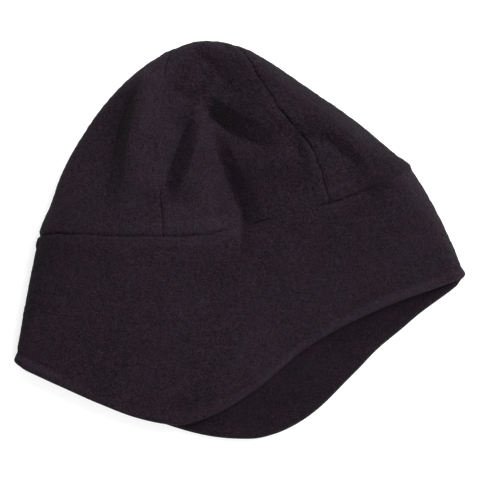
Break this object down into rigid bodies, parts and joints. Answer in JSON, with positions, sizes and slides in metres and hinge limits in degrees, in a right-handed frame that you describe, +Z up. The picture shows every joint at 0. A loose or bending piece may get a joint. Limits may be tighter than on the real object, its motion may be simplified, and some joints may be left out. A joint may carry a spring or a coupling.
{
  "type": "fleece ear-flap beanie",
  "caption": "Soft fleece beanie with a gored crown and a deep double band that dips into ear flaps, lying flat on its side.",
  "frame": {"origin": "on the table, under the middle of the whole hat as it lies on its side", "axes": "+X from the nape towards the forehead, +Y from the hem towards the crown, +Z up from the table"},
  "size_m": [0.2801, 0.245, 0.0362],
  "materials": {
    "fleece": "matte brushed fleece, aubergine black"
  },
  "bodies": {
    "root": {"gore_front": "fleece", "gore_right": "fleece", "gore_back_right": "fleece", "gore_back_left": "fleece", "gore_left": "fleece", "band_outer": "fleece", "band_facing": "fleece"}
  },
  "joints": []
}
